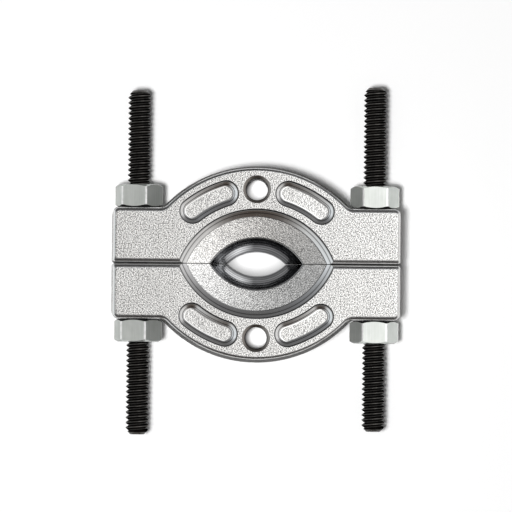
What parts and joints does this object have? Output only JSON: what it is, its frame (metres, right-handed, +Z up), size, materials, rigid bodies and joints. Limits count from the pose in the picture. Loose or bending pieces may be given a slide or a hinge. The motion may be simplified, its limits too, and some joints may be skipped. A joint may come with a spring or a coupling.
{
  "type": "bearing separator",
  "caption": "Bearing separator: two forged half plates with a knife-edged eye, puller holes and relief pockets, drawn together on long threaded studs by hexagon nuts.",
  "frame": {"origin": "centre of the bounding box, at the flat underside that the separator lies on", "axes": "+Z up, square to the plates and away from the flat underside; +Y along the studs towards the rear half; +X across, from the left stud to the right one"},
  "size_m": [0.1086, 0.1298, 0.02],
  "materials": {
    "plated_forging": "satin plating over a fine forged grain",
    "black_steel": "black oxide, lightly oiled",
    "zinc_plated_steel": "zinc plating, satin"
  },
  "bodies": {
    "studs": {"stud_left": "black_steel", "stud_right": "black_steel"},
    "rear_plate": {"rear_half": "plated_forging"},
    "front_plate": {"front_half": "plated_forging"},
    "rear_left_nut": {"nut_rear_left": "zinc_plated_steel"},
    "rear_right_nut": {"nut_rear_right": "zinc_plated_steel"},
    "front_left_nut": {"nut_front_left": "zinc_plated_steel"},
    "front_right_nut": {"nut_front_right": "zinc_plated_steel"}
  },
  "joints": [
    {"name": "rear_plate_slide", "type": "slide", "parent": "studs", "child": "rear_plate", "axis": [0, 1, 0], "range_m": [0, 0.03456]},
    {"name": "rear_left_nut_turn", "type": "hinge", "parent": "rear_plate", "child": "rear_left_nut", "pos_m": [-0.0439, 0.02, 0.01], "axis": [0, 1, 0], "range_deg": [0, 6480]},
    {"name": "rear_right_nut_turn", "type": "hinge", "parent": "rear_plate", "child": "rear_right_nut", "pos_m": [0.0439, 0.02, 0.01], "axis": [0, 1, 0], "range_deg": [0, 6480]},
    {"name": "front_plate_slide", "type": "slide", "parent": "studs", "child": "front_plate", "axis": [0, -1, 0], "range_m": [0, 0.03264]},
    {"name": "front_left_nut_turn", "type": "hinge", "parent": "front_plate", "child": "front_left_nut", "pos_m": [-0.0439, -0.0225, 0.01], "axis": [0, -1, 0], "range_deg": [0, 6120]},
    {"name": "front_right_nut_turn", "type": "hinge", "parent": "front_plate", "child": "front_right_nut", "pos_m": [0.0439, -0.0225, 0.01], "axis": [0, -1, 0], "range_deg": [0, 6120]}
  ],
  "couplings": [
    {"joint": "rear_left_nut_turn", "follows": "rear_plate_slide", "rad_per_m": 3272.5},
    {"joint": "rear_right_nut_turn", "follows": "rear_plate_slide", "rad_per_m": 3272.5},
    {"joint": "front_left_nut_turn", "follows": "front_plate_slide", "rad_per_m": 3272.5},
    {"joint": "front_right_nut_turn", "follows": "front_plate_slide", "rad_per_m": 3272.5}
  ]
}
